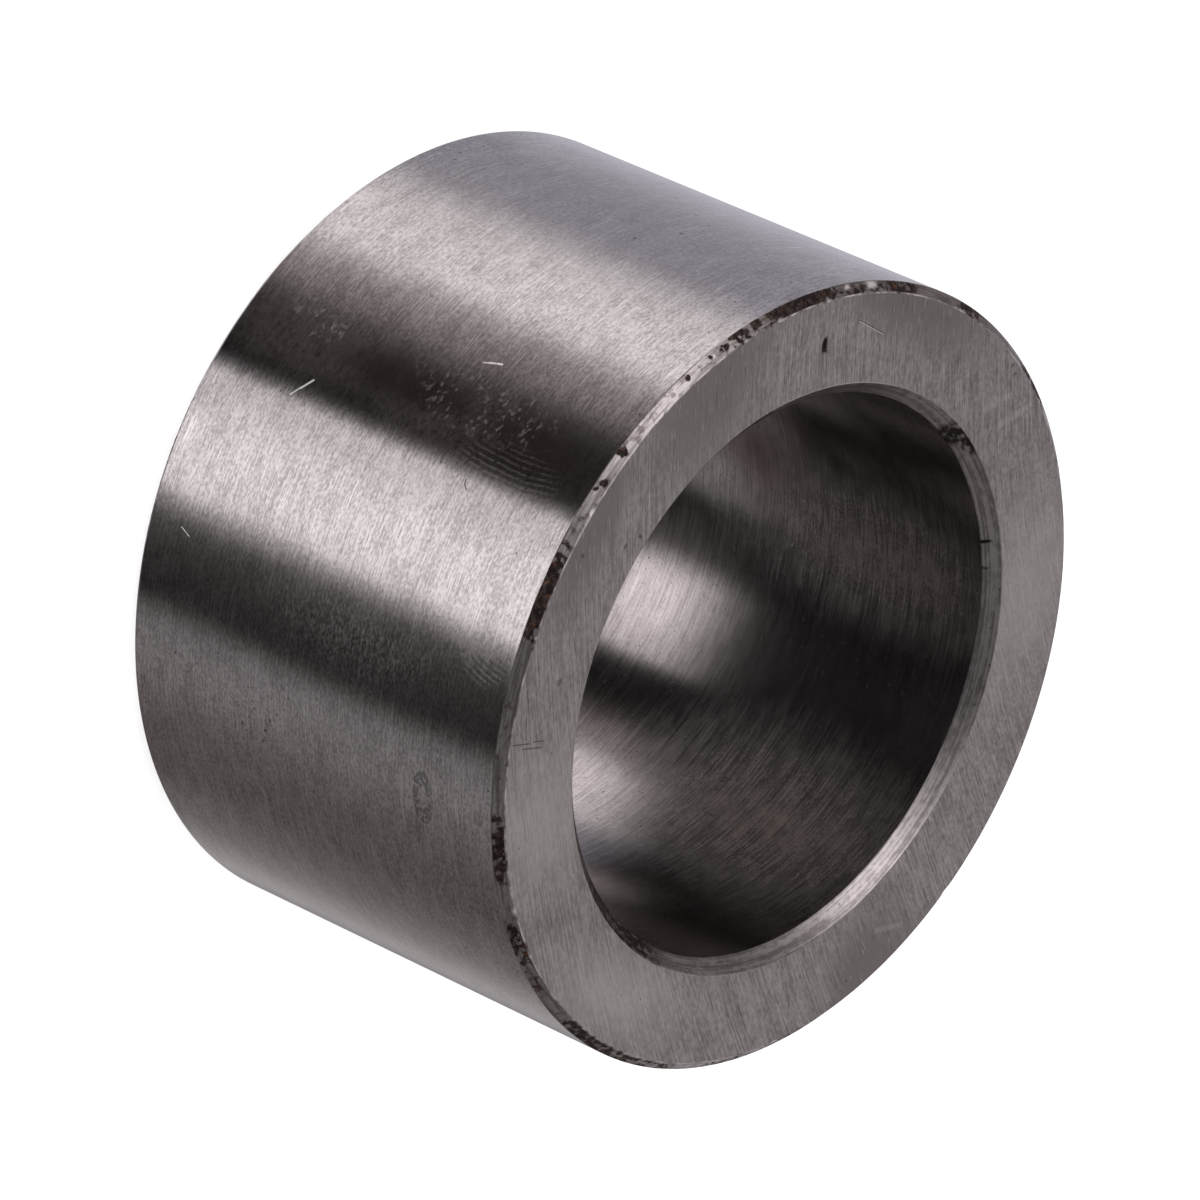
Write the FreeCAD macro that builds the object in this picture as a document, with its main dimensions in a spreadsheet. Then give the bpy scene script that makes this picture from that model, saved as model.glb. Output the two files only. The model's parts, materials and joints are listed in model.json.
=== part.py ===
import FreeCAD, Part
import math
import os
import Sketcher

# Spacer sleeve: one turned steel ring that slides over a shaft and keeps two parts apart.
# It stands on one end face. The origin is the centre of that face and +Z runs along the bore.
# All sizes are in millimetres.

SIZES = {
    # The bore slides over a 40 mm shaft with 0.05 mm to spare on each side.
    "bore_diameter": 40.1,
    "wall_thickness": 7.95,
    "sleeve_length": 35.0,
    # Leg of the small 45 degree chamfer on each outer rim.
    "rim_chamfer": 0.65,
    # Leg of the wider 45 degree lead-in at each mouth of the bore.
    "bore_chamfer": 1.0,
}
CHAMFER_ANGLE = 45.0
FULL_TURN = 360.0
PARTS_FOLDER = "parts"


def make_sheet(doc):
    """The driving dimensions, one row each, with an alias that the features read."""
    sheet = doc.addObject("Spreadsheet::Sheet", "Sizes")
    for row, (alias, value) in enumerate(SIZES.items(), start=1):
        sheet.set(f"A{row}", alias)
        sheet.set(f"B{row}", str(value))
        sheet.setAlias(f"B{row}", alias)
    doc.recompute()
    return sheet


def origin_feature(body, role):
    """The plane or axis of a body's own origin with that role."""
    return next(f for f in body.Origin.OriginFeatures if f.Role == role)


def draw_section(body, sheet):
    """Half of the ring's section: the rectangle between bore and outside, from end face to end face."""
    sketch = body.newObject("Sketcher::SketchObject", "Section")
    sketch.AttachmentSupport = [(origin_feature(body, "XZ_Plane"), "")]
    sketch.MapMode = "FlatFace"

    bore = sheet.bore_diameter / 2
    outside = bore + sheet.wall_thickness
    top = sheet.sleeve_length
    corners = [(bore, 0), (outside, 0), (outside, top), (bore, top)]
    points = [FreeCAD.Vector(x, y, 0) for x, y in corners]
    sides = [
        sketch.addGeometry(Part.LineSegment(points[i], points[(i + 1) % len(points)]), False)
        for i in range(len(points))
    ]
    bottom, outer_wall, upper, inner_wall = sides
    start, end = 1, 2
    origin = (-1, 1)
    for i, side in enumerate(sides):
        following = sides[(i + 1) % len(sides)]
        sketch.addConstraint(Sketcher.Constraint("Coincident", side, end, following, start))
    for side in (outer_wall, inner_wall):
        sketch.addConstraint(Sketcher.Constraint("Vertical", side))
    sketch.addConstraint(Sketcher.Constraint("Horizontal", upper))
    # The lower end face lies on the sketch's horizontal axis, so both of its corners do.
    for place in (start, end):
        sketch.addConstraint(Sketcher.Constraint("PointOnObject", bottom, place, -1))

    driven = [
        ("bore_radius", Sketcher.Constraint("DistanceX", *origin, bottom, start, bore),
         "Sizes.bore_diameter / 2"),
        ("wall", Sketcher.Constraint("DistanceX", bottom, start, bottom, end, outside - bore),
         "Sizes.wall_thickness"),
        ("length", Sketcher.Constraint("DistanceY", outer_wall, start, outer_wall, end, top),
         "Sizes.sleeve_length"),
    ]
    for name, constraint, formula in driven:
        index = sketch.addConstraint(constraint)
        sketch.renameConstraint(index, name)
        sketch.setExpression(f"Constraints.{name}", formula)
    return sketch


def turn_ring(body, section):
    """The ring itself, turned about the bore's axis."""
    ring = body.newObject("PartDesign::Revolution", "Ring")
    ring.Profile = section
    ring.ReferenceAxis = (origin_feature(body, "Z_Axis"), [""])
    ring.Angle = FULL_TURN
    section.Visibility = False
    return ring


def circles_of_radius(shape, radius):
    """The names of the round edges of that radius about the Z axis."""
    names = []
    for number, edge in enumerate(shape.Edges, start=1):
        curve = edge.Curve
        if isinstance(curve, Part.Circle) and math.isclose(curve.Radius, radius):
            names.append(f"Edge{number}")
    return names


def break_edges(body, before, label, radius, leg):
    """A 45 degree chamfer on both end edges of that radius. leg is the sheet's alias for its width."""
    edges = circles_of_radius(before.Shape, radius)
    if len(edges) != 2:
        raise RuntimeError(f"{label}: expected an edge at each end, found {edges}")
    chamfer = body.newObject("PartDesign::Chamfer", label)
    chamfer.Base = (before, edges)
    chamfer.ChamferType = "Distance and Angle"
    chamfer.Angle = CHAMFER_ANGLE
    chamfer.setExpression("Size", f"Sizes.{leg}")
    return chamfer


def make_sleeve(doc, sheet):
    """The whole sleeve: the turned ring, then the rim chamfers, then the bore's lead-ins."""
    body = doc.addObject("PartDesign::Body", "Sleeve")
    body.Label = "sleeve"
    ring = turn_ring(body, draw_section(body, sheet))
    doc.recompute()

    bore = sheet.bore_diameter / 2
    rims = break_edges(body, ring, "RimChamfers", bore + sheet.wall_thickness, "rim_chamfer")
    doc.recompute()
    lead_ins = break_edges(body, rims, "BoreLeadIns", bore, "bore_chamfer")
    body.Tip = lead_ins
    doc.recompute()
    return body


def check(doc, pieces):
    """Stops before anything is written if an object failed or a piece isn't one sound solid."""
    for item in doc.Objects:
        if "Invalid" in item.State or "Error" in item.State:
            raise RuntimeError(f"{item.Label} failed: {item.State}")
    for piece in pieces:
        shape = piece.Shape
        if shape.isNull() or not shape.isValid() or len(shape.Solids) != 1:
            raise RuntimeError(f"{piece.Label} isn't one valid solid")


def export(pieces):
    """Writes each piece to its own file, named after its label."""
    os.makedirs(PARTS_FOLDER, exist_ok=True)
    for piece in pieces:
        piece.Shape.exportStep(os.path.join(PARTS_FOLDER, f"{piece.Label}.step"))


def main():
    doc = FreeCAD.newDocument("SpacerSleeve")
    sheet = make_sheet(doc)
    pieces = [make_sleeve(doc, sheet)]
    check(doc, pieces)
    export(pieces)


main()
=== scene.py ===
import json
import math

import bmesh
import bpy
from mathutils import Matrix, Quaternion, Vector, noise


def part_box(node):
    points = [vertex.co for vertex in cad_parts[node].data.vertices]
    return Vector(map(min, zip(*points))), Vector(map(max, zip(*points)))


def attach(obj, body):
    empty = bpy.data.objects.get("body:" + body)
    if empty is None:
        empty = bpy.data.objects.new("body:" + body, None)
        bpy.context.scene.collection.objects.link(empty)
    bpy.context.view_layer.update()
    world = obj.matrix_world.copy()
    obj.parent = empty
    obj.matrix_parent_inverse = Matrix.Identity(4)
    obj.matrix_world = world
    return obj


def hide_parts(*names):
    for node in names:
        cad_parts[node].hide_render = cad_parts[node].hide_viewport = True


# Spacer sleeve: a ground steel ring that stands on one end, with its studio.
# Angles about the bore are counted from +X towards +Y, so -90 degrees faces the camera.
bl_info = {
    "name": "Spacer Sleeve",
    "version": (1, 0, 0),
    "blender": (4, 5, 0),
    "location": "View3D > Sidebar > Sleeve",
    "description": "Builds a ground steel spacer sleeve and the studio that shows it",
    "category": "Add Mesh",
}

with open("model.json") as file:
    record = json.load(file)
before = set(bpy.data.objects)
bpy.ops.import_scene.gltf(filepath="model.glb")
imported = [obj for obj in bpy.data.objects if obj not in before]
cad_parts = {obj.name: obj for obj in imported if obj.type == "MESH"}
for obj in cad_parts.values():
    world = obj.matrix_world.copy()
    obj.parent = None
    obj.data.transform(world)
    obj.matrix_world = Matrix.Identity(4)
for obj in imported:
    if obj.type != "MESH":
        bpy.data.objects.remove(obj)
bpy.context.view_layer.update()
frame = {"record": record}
LOW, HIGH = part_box("sleeve")
BORE_MOUNT = next(m for m in frame["record"]["mounts"] if m["name"] == "bore")
MM = 0.001
PER_MM = 1000.0
# Radii and height of the surfaces that the marks lie on, in mm.
WALL_RADIUS = HIGH.x * PER_MM
BORE_RADIUS = BORE_MOUNT["dims"]["r_mm"]
UPPER_FACE = HIGH.z * PER_MM
FULL_TURN = 2 * math.pi
# What every length and every colour that a user can change has in common.
LENGTH = {"subtype": "DISTANCE", "unit": "LENGTH"}
COLOUR = {"size": 4, "subtype": "COLOR"}


def linear(hex_colour):
    """An sRGB hex colour as linear red, green, blue and alpha."""
    channels = [int(hex_colour[i : i + 2], 16) / 255 for i in (1, 3, 5)]
    turned = [c / 12.92 if c <= 0.04045 else ((c + 0.055) / 1.055) ** 2.4 for c in channels]
    return (*turned, 1.0)


def smooth(value):
    """0 to 1 with soft ends, and clamped outside."""
    value = min(max(value, 0.0), 1.0)
    return value * value * (3 - 2 * value)


def add(tree, kind, inputs=None, stops=None, **settings):
    """Adds a node with its settings, sets or links its inputs, and returns its first live output."""
    node = tree.nodes.new("ShaderNode" + kind)
    for name, value in settings.items():
        setattr(node, name, value)
    for key, value in (inputs or {}).items():
        live = [s for s in node.inputs if s.enabled and s.name == key]
        socket = node.inputs[key] if isinstance(key, int) else live[0]
        if isinstance(value, bpy.types.NodeSocket):
            tree.links.new(value, socket)
        else:
            socket.default_value = value
    if stops:
        elements = node.color_ramp.elements
        while len(elements) < len(stops):
            elements.new(1.0)
        for element, (place, colour) in zip(elements, stops):
            element.position = place
            element.color = colour
    return next((s for s in node.outputs if s.enabled), node)


class SleeveSizes(bpy.types.PropertyGroup):
    outside_diameter: bpy.props.FloatProperty(
        name="Outside diameter",
        description="Across the ground outside wall",
        default=HIGH.x - LOW.x,
        **LENGTH,
    )
    bore_diameter: bpy.props.FloatProperty(
        name="Bore",
        description="Across the honed bore",
        default=2 * BORE_RADIUS * MM,
        **LENGTH,
    )
    length: bpy.props.FloatProperty(
        name="Length",
        description="From end face to end face",
        default=HIGH.z - LOW.z,
        **LENGTH,
    )
    rim_chamfer: bpy.props.FloatProperty(
        name="Rim chamfer",
        description="Leg of the 45 degree chamfer on each outer rim",
        default=0.65 * MM,
        **LENGTH,
    )
    lead_in: bpy.props.FloatProperty(
        name="Lead-in",
        description="Leg of the 45 degree chamfer at each mouth of the bore",
        default=1.0 * MM,
        **LENGTH,
    )
    edge_break: bpy.props.FloatProperty(
        name="Edge break",
        description="How far the sharp edges are worn back",
        default=0.05 * MM,
        **LENGTH,
    )


class SleeveColours(bpy.types.PropertyGroup):
    ground_steel: bpy.props.FloatVectorProperty(
        name="Ground steel",
        description="What bare ground steel reflects",
        default=linear("#d0cbcb"),
        **COLOUR,
    )
    dull_steel: bpy.props.FloatVectorProperty(
        name="Dull steel",
        description="The same steel at the bottom of its grinding marks",
        default=linear("#9b9595"),
        **COLOUR,
    )
    # Also laid on the upper lead-in as a long patch of painted shade.
    black_scale: bpy.props.FloatVectorProperty(
        name="Black scale",
        description="Oxide left from the bar stock",
        default=linear("#201312"),
        **COLOUR,
    )
    # Also laid along one line of the end face as a painted shadow, and on the bore as a patch of painted
    # shade.
    worn_scale: bpy.props.FloatVectorProperty(
        name="Worn scale",
        description="Scale rubbed thin, with the steel showing through",
        default=linear("#4f3f3b"),
        **COLOUR,
    )
    rust: bpy.props.FloatVectorProperty(
        name="Rust",
        description="Small orange rust spots",
        default=linear("#8d5a3a"),
        **COLOUR,
    )
    # Also laid over broad patches of the end face as painted shade.
    haze: bpy.props.FloatVectorProperty(
        name="Haze",
        description="Dried oil and handling marks on the steel",
        default=linear("#9a9494"),
        **COLOUR,
    )
    oil_film: bpy.props.FloatVectorProperty(
        name="Oil film",
        description="Brown film of old oil",
        default=linear("#927a6c"),
        **COLOUR,
    )
    # Also laid over broad patches of the end face as painted light.
    cut_metal: bpy.props.FloatVectorProperty(
        name="Cut metal",
        description="Bright bare metal in nicks and scratches",
        default=linear("#f0edeb"),
        **COLOUR,
    )


class SleeveStudio(bpy.types.PropertyGroup):
    light: bpy.props.FloatProperty(
        name="Light",
        description="Brightness of the soft boxes round the sleeve",
        default=1.35,
        min=0.0,
    )
    overhead: bpy.props.FloatProperty(
        name="Overhead light",
        description="Power of the soft panel above the sleeve",
        default=0.35,
        min=0.0,
        unit="POWER",
    )
    floor: bpy.props.FloatVectorProperty(
        name="Floor",
        description="The pale table that the sleeve stands on",
        default=linear("#f4f4f4"),
        **COLOUR,
    )
    focal_length: bpy.props.FloatProperty(
        name="Focal length",
        description="Of the camera, on a 36 mm sensor",
        default=328.149,
        unit="CAMERA",
    )
    roll: bpy.props.FloatProperty(
        name="Roll",
        description="How far the camera is turned about its own line of sight",
        default=math.radians(114.106),
        subtype="ANGLE",
    )


# Sizes of the mesh

SEGMENTS = 960
BREAK_SEGMENTS = 3
MERGE_WITHIN = 0.001 * MM
# An edge that turns by more than this is sharp, and is broken.
SHARP_TURN = math.radians(30)
# The surfaces, in the order that their finishes are put on.
OUTSIDE, FACE, RIM, LEAD_IN, BORE = range(5)
# Rows this far in from the edges of a surface keep the smooth shading of its middle flat.
CLOSE_ROW = 0.06 * MM
NEXT_ROW = 0.25 * MM
INSETS = {
    OUTSIDE: (CLOSE_ROW, NEXT_ROW),
    BORE: (CLOSE_ROW, NEXT_ROW),
    FACE: (CLOSE_ROW, NEXT_ROW),
    RIM: (CLOSE_ROW,),
    LEAD_IN: (CLOSE_ROW,),
}
# How many more rows lie between those, evenly across each surface.
CUTS = {OUTSIDE: 3, BORE: 2, FACE: 5, RIM: 6, LEAD_IN: 2}

# Marks on the rims and the upper end face

# Black scale on the rim chamfers: its middle and half width in degrees, how thick it lies, and its middle and
# half width across the chamfer, from 0 at the wall to 1 at the end face.
UPPER_SCALE = (
    (-86.6, 7.0, 1.0, 0.35, 0.9),
    (-66, 8, 0.14, 0.5, 0.9),
    (-49.5, 4.6, 0.85, 0.5, 1.2),
    (-33.5, 3.4, 0.8, 0.5, 1.2),
    (-27.5, 4.5, 0.42, 0.5, 0.8),
    (-8.5, 6.2, 0.85, 0.5, 0.9),
    (2, 9.0, 0.6, 0.4, 0.8),
    (-109.2, 0.75, 0.9, 0.35, 0.4),
    (-104.2, 0.5, 0.85, 0.5, 0.25),
    (-103.0, 0.4, 0.8, 0.3, 0.2),
    (-98.5, 2.4, 0.12, 0.5, 0.9),
    (-123.6, 0.3, 0.85, 0.35, 0.2),
    (-128.3, 0.35, 0.85, 0.35, 0.2),
    (-131.0, 0.9, 0.7, 0.4, 0.3),
    (-135.6, 3.4, 0.68, 0.45, 0.8),
    (-145, 7.0, 1.0, 0.45, 1.0),
    (-158.5, 4.6, 0.62, 0.7, 0.6),
    (-166.5, 3.6, 0.85, 0.5, 0.9),
    (176.5, 2.6, 0.65, 0.5, 0.9),
    (155, 5, 0.75, 0.5, 0.9),
    (128, 13, 0.75, 0.5, 0.9),
    (100, 12, 0.7, 0.5, 0.9),
    (73, 11, 0.75, 0.5, 0.9),
    (46, 12, 0.8, 0.5, 0.9),
    (24, 5, 0.5, 0.5, 0.9),
)
LOWER_SCALE = (
    (-160, 14, 0.8, 0.5, 0.9),
    (-118, 9, 1.0, 0.5, 1.2),
    (-82, 12, 0.5, 0.4, 0.8),
    (-35, 10, 0.9, 0.5, 1.0),
    (8, 13, 0.7, 0.3, 0.8),
    (55, 8, 0.9, 0.5, 1.2),
    (101, 15, 0.6, 0.5, 0.9),
    (150, 9, 1.0, 0.4, 1.0),
)
# About how deep the thickest scale has pitted the chamfer, in mm, and how many of its flakes come to a mm.
SCALE_DEPTH = 0.035
FLAKES_PER_MM = 2.2
# Octaves of the flakes' noise: how fast they weaken, how much finer each is than the last, and how many.
FLAKE_OCTAVES = (0.8, 2.1, 4)
# The pitting grows to its full depth within this distance of the chamfer's edges.
SOFT_START = 0.12 * MM
# The bright burr along the upper rim's inner edge: its width, and how strong it is before noise breaks it up.
BURR_REACH = 0.07 * MM
BURR_LEVEL = 0.45
# Nicks and chips in the upper rim: angle in degrees, place across the chamfer from 0 at the wall to 1 at the
# end face, and radius and depth in mm.
NICKS = (
    (-160.8, 0.25, 0.44, 0.06),
    (-155.8, 0.25, 0.22, 0.05),
    (-151.2, 1.0, 0.20, 0.07),
    (-141.5, 1.0, 0.22, 0.09),
    (-134.5, 1.0, 0.16, 0.05),
    (-118.0, 1.0, 0.20, 0.05),
    (-100.2, 1.0, 0.22, 0.08),
    (-81.0, 1.0, 0.14, 0.04),
    (-38.8, 1.0, 0.22, 0.08),
    (-30.0, 1.0, 0.16, 0.05),
    (33.0, 1.0, 0.20, 0.06),
    (71.0, 1.0, 0.24, 0.07),
    (139.0, 1.0, 0.22, 0.06),
)
# How wide a nick is for its length round the rim.
NICK_WIDTH = 0.7
# Pit in the upper face: x, y, half length, half width and depth in mm.
PIT = (-21.17, -11.65, 0.56, 0.25, 0.18)
# The patch of finer mesh round it, and the cuts in each of that patch's edges.
PIT_REACH = 1.1 * MM
PIT_CUTS = 3
# A mark is gone at this many of its half sizes from its middle, and whole at one half size less.
SCALE_END = 1.5
BURR_END = 1.5
NICK_END = 1.25
PIT_END = 1.3
# Noise that makes marks uneven: its cells to the mm, and its strength.
BURR_COARSE = (0.9, 0.7)
BURR_FINE = (3.1, 0.5)
NICK_RAGGED = (4.3, 0.5)
PIT_RAGGED = (2.6, 0.7)
# The end faces were ground in arcs about this point, in mm from the bore's axis.
LAY_CENTRE = (-76.0, 77.0)
LAY_RADIUS = 104.0


def section(sizes):
    """The corners of the ring's section as (radius, height), right round it from the bore."""
    bore = sizes.bore_diameter / 2
    rim = sizes.outside_diameter / 2
    leg = sizes.rim_chamfer
    lead = sizes.lead_in
    top = sizes.length
    return (
        (bore, lead),
        (bore + lead, 0),
        (rim - leg, 0),
        (rim, leg),
        (rim, top - leg),
        (rim - leg, top),
        (bore + lead, top),
        (bore, top - lead),
    )


def radius_of(place):
    """How far a point is from the bore's axis."""
    return math.hypot(place.x, place.y)


def turn_ring(sizes):
    """The closed ring, turned from its section, with its eight sharp edges broken."""
    bm = bmesh.new()
    corners = [bm.verts.new((radius, 0, height)) for radius, height in section(sizes)]
    sides = [bm.edges.new(pair) for pair in zip(corners, corners[1:] + corners[:1])]
    bmesh.ops.spin(
        bm,
        geom=corners + sides,
        cent=(0, 0, 0),
        axis=(0, 0, 1),
        angle=FULL_TURN,
        steps=SEGMENTS,
        use_merge=True,
    )
    bmesh.ops.remove_doubles(bm, verts=bm.verts, dist=MERGE_WITHIN)
    bmesh.ops.recalc_face_normals(bm, faces=bm.faces)
    sharp = [e for e in bm.edges if e.calc_face_angle() > SHARP_TURN]
    bmesh.ops.bevel(
        bm,
        geom=sharp,
        offset=sizes.edge_break,
        offset_type="OFFSET",
        segments=BREAK_SEGMENTS,
        profile=0.5,
        affect="EDGES",
        material=-1,
        clamp_overlap=True,
    )
    return bm


def name_surfaces(bm, sizes):
    """Gives each face the number of its finish. The broken edges go with the chamfers."""
    bore = sizes.bore_diameter / 2
    rim = sizes.outside_diameter / 2
    room = sizes.edge_break
    for face in bm.faces:
        place = face.calc_center_median()
        radius = radius_of(place)
        from_end = min(place.z, sizes.length - place.z)
        if radius > rim - sizes.rim_chamfer - room and from_end < sizes.rim_chamfer + room:
            face.material_index = RIM
        elif radius < bore + sizes.lead_in + room and from_end < sizes.lead_in + room:
            face.material_index = LEAD_IN
        elif from_end < room:
            face.material_index = FACE
        else:
            face.material_index = OUTSIDE if radius > (bore + rim) / 2 else BORE
        face.smooth = True


def width(edge):
    """How far an edge reaches across the ring's section."""
    a, b = (v.co for v in edge.verts)
    return math.hypot(radius_of(a) - radius_of(b), a.z - b.z)


def add_rows(bm, sizes):
    """Rows across each wide surface, with close ones along each of its edges."""
    # The broken edges are far narrower than this, and every surface between them is wider.
    wide = 4 * sizes.edge_break
    for finish, insets in INSETS.items():
        faces = [f for f in bm.faces if f.material_index == finish]
        strip = [f for f in faces if max(width(e) for e in f.edges) > wide]
        for inset in insets:
            bmesh.ops.inset_region(
                bm, faces=strip, thickness=inset, use_boundary=True, use_even_offset=True
            )
        rungs = {e for f in strip for e in f.edges if width(e) > wide}
        bmesh.ops.subdivide_edges(bm, edges=list(rungs), cuts=CUTS[finish], use_grid_fill=True)


def turned_by(place, degrees):
    """The angle from that many degrees to a point, in degrees from -180 to 180."""
    return (math.degrees(math.atan2(place.y, place.x)) - degrees + 180) % 360 - 180


def scale_on(place, share, patches):
    """How thick scale lies at a point of a rim, from 0 to 1. share is how far across the chamfer it is."""
    return max(
        thick * smooth(SCALE_END - math.hypot(turned_by(place, middle) / half, (share - band) / reach))
        for middle, half, thick, band, reach in patches
    )


def noise_at(place, cells, strength):
    """Noise about 0 of that strength, with that many cells to the mm."""
    return strength * noise.noise(place * cells * PER_MM)


def wear_rims(bm, sizes):
    """Pits the rim chamfers where scale lies, and gives the upper one its nicks and its bright burr."""
    cover = bm.verts.layers.float.new("scale_cover")
    fresh = bm.verts.layers.float.new("fresh_metal")
    inner_edge = sizes.outside_diameter / 2 - sizes.rim_chamfer
    for vert in bm.verts:
        place = vert.co.copy()
        upper = place.z > sizes.length / 2
        from_end = sizes.length - place.z if upper else place.z
        beyond = radius_of(place) - inner_edge
        if beyond < -sizes.rim_chamfer or from_end > sizes.rim_chamfer:
            continue
        share = min(max(1 - beyond / sizes.rim_chamfer, 0.0), 1.0)
        thick = scale_on(place, share, UPPER_SCALE if upper else LOWER_SCALE)
        vert[cover] = thick
        inward = Vector((-place.x, -place.y, 0)).normalized()
        inward.z = -1 if upper else 1
        inward.normalize()
        held = smooth(beyond / SOFT_START) * smooth((sizes.rim_chamfer - from_end) / SOFT_START)
        flake = noise.fractal(place * FLAKES_PER_MM * PER_MM, *FLAKE_OCTAVES) * 0.5 + 0.5
        vert.co += inward * held * thick * max(flake, 0.0) * SCALE_DEPTH * MM
        if not upper:
            continue
        slide = math.hypot(beyond, from_end)
        burr = BURR_LEVEL + noise_at(place, *BURR_COARSE) + noise_at(place, *BURR_FINE)
        vert[fresh] = smooth(BURR_END - slide / BURR_REACH) * smooth(burr)
        for angle, across, reach, depth in NICKS:
            along = math.radians(turned_by(place, angle)) * radius_of(place)
            down = (1 - across) * sizes.rim_chamfer
            off = math.hypot(beyond - down, from_end - down)
            ragged = 1 + noise_at(place, *NICK_RAGGED)
            near = smooth(NICK_END - math.hypot(along * NICK_WIDTH, off) * ragged / (reach * MM))
            vert.co += inward * near * depth * MM
            vert[fresh] = max(vert[fresh], near)


def sink_pit(bm, sizes):
    """The deep pit in the upper face, on a patch of finer mesh."""
    pit = bm.verts.layers.float.new("pit")
    x, y, half_length, half_width, depth = PIT
    middle = Vector((x, y, 0)) * MM
    middle.z = sizes.length
    lay = (Vector((*LAY_CENTRE, 0)) * MM - Vector((x, y, 0)) * MM).normalized()
    near = {
        e
        for f in bm.faces
        if f.material_index == FACE and (f.calc_center_median() - middle).length < PIT_REACH
        for e in f.edges
    }
    bmesh.ops.subdivide_edges(bm, edges=list(near), cuts=PIT_CUTS, use_grid_fill=True)
    for vert in bm.verts:
        away = vert.co - middle
        if away.length > PIT_REACH or abs(away.z) > CLOSE_ROW:
            continue
        side = away.x * lay.x + away.y * lay.y
        along = away.x * lay.y - away.y * lay.x
        ragged = 1 + noise_at(vert.co, *PIT_RAGGED)
        share = math.hypot(side / (half_width * MM), along / (half_length * MM)) * ragged
        deep = smooth(PIT_END - share)
        vert.co.z -= deep * depth * MM
        vert[pit] = deep


class MESH_OT_build_sleeve(bpy.types.Operator):
    """Build the sleeve in place of the CAD ring, with the finish of each of its surfaces"""

    bl_idname = "mesh.build_sleeve"
    bl_label = "Build Sleeve"

    def execute(self, context):
        sizes = context.scene.sleeve_sizes
        bm = turn_ring(sizes)
        name_surfaces(bm, sizes)
        add_rows(bm, sizes)
        wear_rims(bm, sizes)
        sink_pit(bm, sizes)
        mesh = bpy.data.meshes.new("ground_sleeve")
        bm.to_mesh(mesh)
        bm.free()
        for finish in (ground_wall, ground_face, scaled_rim, turned_lead_in, honed_bore):
            mesh.materials.append(finish(context.scene.sleeve_colours))
        sleeve = bpy.data.objects.new("ground_sleeve", mesh)
        context.scene.collection.objects.link(sleeve)
        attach(sleeve, "root")
        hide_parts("sleeve")
        return {"FINISHED"}


# Finishes

# The middle value of a noise.
MIDDLE = 0.5
# Light spreads across marks that run round the axis, a quarter turn from the shader's own direction.
SHINE_TURN = 0.25


def new_material(name):
    """An empty node material and its tree."""
    material = bpy.data.materials.new(name)
    material.use_nodes = True
    material.node_tree.nodes.clear()
    return material, material.node_tree


def place_in_mm(tree):
    """Object coordinates in millimetres."""
    place = add(tree, "TexCoord").node.outputs["Object"]
    return add(tree, "VectorMath", {0: place, "Scale": PER_MM}, operation="SCALE")


def grain(tree, place, size, detail=2.0, roughness=0.5):
    """Noise from 0 to 1, whose cells are that many mm along each axis."""
    scale = [1 / length for length in size]
    stretched = add(tree, "Mapping", {"Vector": place, "Scale": scale})
    inputs = {"Vector": stretched, "Scale": 1.0, "Detail": detail, "Roughness": roughness}
    return add(tree, "TexNoise", inputs)


def marks(tree, place, size, low, high, detail=1.0):
    """1 where noise with cells of that size in mm is past high, 0 where it is short of low."""
    inputs = {"Value": grain(tree, place, size, detail), "From Min": low, "From Max": high}
    return add(tree, "MapRange", inputs, interpolation_type="SMOOTHSTEP")


def most(tree, masks):
    """The highest of several masks."""
    top = masks[0]
    for mask in masks[1:]:
        top = add(tree, "Math", {0: top, 1: mask}, operation="MAXIMUM")
    return top


def together(tree, *masks, share=None):
    """The product of several masks: 1 only where all of them are. A share weakens the whole."""
    factors = masks if share is None else (*masks, share)
    product = factors[0]
    for factor in factors[1:]:
        product = add(tree, "Math", {0: product, 1: factor}, operation="MULTIPLY")
    return product


def toned(tree, value, low, high, dull, bright):
    """A colour that goes from dull to bright as a value goes from low to high."""
    inputs = {"Value": value, "From Min": low, "From Max": high}
    share = add(tree, "MapRange", inputs, interpolation_type="SMOOTHSTEP")
    return add(tree, "Mix", {"Factor": share, "A": dull, "B": bright}, data_type="RGBA")


def laid(tree, colour, top, mask, share):
    """A colour, with that share of another laid over it where the mask is 1."""
    inputs = {"Factor": together(tree, mask, share=share), "A": colour, "B": top}
    return add(tree, "Mix", inputs, data_type="RGBA")


def left_bare(tree, covers):
    """How metallic the steel stays under several covers, each a mask and how much of the steel it hides."""
    hidden = most(tree, [together(tree, mask, share=share) for mask, share in covers])
    return add(tree, "Math", {0: 1.0, 1: hidden}, operation="SUBTRACT")


def unrolled(tree, place, radius):
    """A point of a round wall laid flat: mm round it, and mm up it."""
    parts = add(tree, "SeparateXYZ", {"Vector": place}).node.outputs
    angle = add(tree, "Math", {0: parts["Y"], 1: parts["X"]}, operation="ARCTAN2")
    return add(tree, "CombineXYZ", {"X": together(tree, angle, radius), "Y": parts["Z"]})


def stroke(tree, flat, start, end, half_width):
    """1 on a scratch between two points of a flat or unrolled surface, in mm, with soft sides."""
    solid, reach = 0.5, 1.3
    line = Vector((*end, 0)) - Vector((*start, 0))
    away = add(tree, "VectorMath", {0: flat, 1: (*start, 0)}, operation="SUBTRACT")
    along = {0: away, 1: line / line.length_squared}
    share = add(tree, "VectorMath", along, operation="DOT_PRODUCT").node.outputs["Value"]
    share = add(tree, "Math", {0: share, 1: 1.0}, operation="MULTIPLY", use_clamp=True)
    foot = add(tree, "VectorMath", {0: line, "Scale": share}, operation="SCALE")
    off = add(tree, "VectorMath", {0: away, 1: foot}, operation="DISTANCE").node.outputs["Value"]
    inputs = {"Value": off, "From Min": half_width * reach, "From Max": half_width * solid}
    return add(tree, "MapRange", inputs, interpolation_type="SMOOTHSTEP")


def strokes(tree, flat, lines):
    """1 on any of several scratches, each given as start, end and half width."""
    return most(tree, [stroke(tree, flat, *line) for line in lines])


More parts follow.
